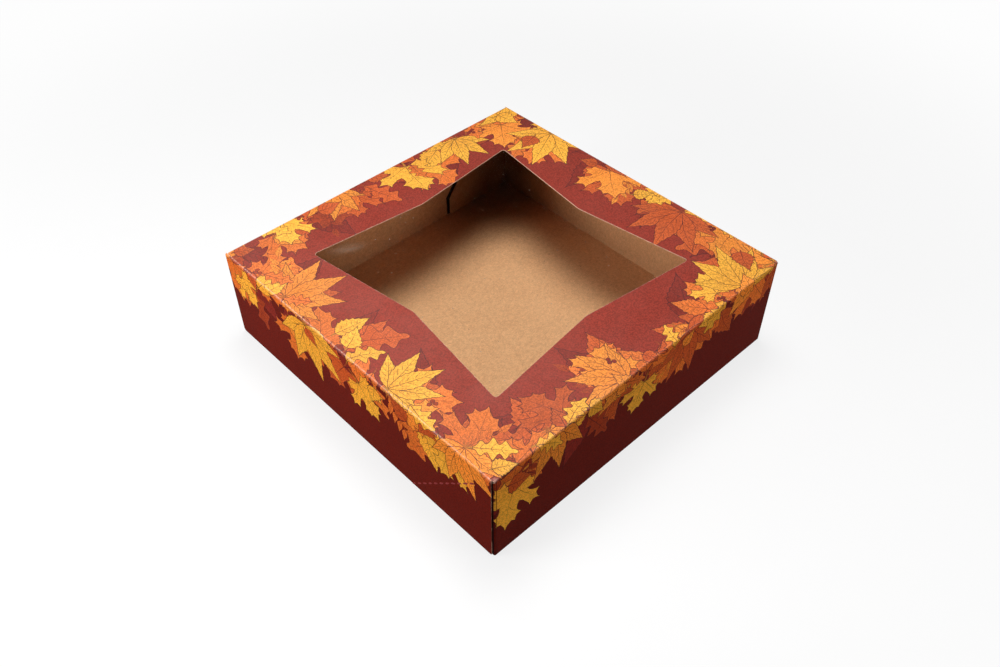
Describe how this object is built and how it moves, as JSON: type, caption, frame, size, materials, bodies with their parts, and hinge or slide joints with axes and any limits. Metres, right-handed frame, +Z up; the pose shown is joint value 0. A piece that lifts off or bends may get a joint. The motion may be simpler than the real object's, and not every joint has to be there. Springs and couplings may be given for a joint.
{
  "type": "window bakery box",
  "caption": "Square paperboard bakery box with a clear window in its top: a glued-corner tray and an attached full-depth cover that hinges open on the back wall.",
  "frame": {"origin": "middle of the box's footprint on the table, under the closed box", "axes": "+Z up, -Y towards the front skirt, +Y towards the hinge crease, +X to the right seen from the front"},
  "size_m": [0.2286, 0.2286, 0.0635],
  "materials": {
    "printed_board": "uncoated paperboard with an all-over burgundy print and a border of autumn leaves",
    "kraft_board": "bare kraft paperboard",
    "clear_film": "clear glossy window film"
  },
  "bodies": {
    "tray": {"base_panel": "kraft_board", "front_wall": "kraft_board", "back_wall": "printed_board", "left_wall": "kraft_board", "right_wall": "kraft_board", "tray_gusset_front_left": "kraft_board", "tray_gusset_front_right": "kraft_board", "tray_gusset_back_left": "kraft_board", "tray_gusset_back_right": "kraft_board", "tray_flap_front_left": "kraft_board", "tray_flap_front_right": "kraft_board", "tray_flap_back_left": "kraft_board", "tray_flap_back_right": "kraft_board"},
    "lid": {"lid_panel": "printed_board", "window_film": "clear_film", "lid_front_skirt": "printed_board", "lid_left_skirt": "printed_board", "lid_right_skirt": "printed_board", "lid_gusset_left": "printed_board", "lid_gusset_right": "printed_board", "lid_flap_left": "printed_board", "lid_flap_right": "printed_board"}
  },
  "joints": [
    {"name": "lid_hinge", "type": "hinge", "parent": "tray", "child": "lid", "pos_m": [0, 0.1143, 0.063], "axis": [-1, 0, 0], "range_deg": [0, 195]}
  ]
}
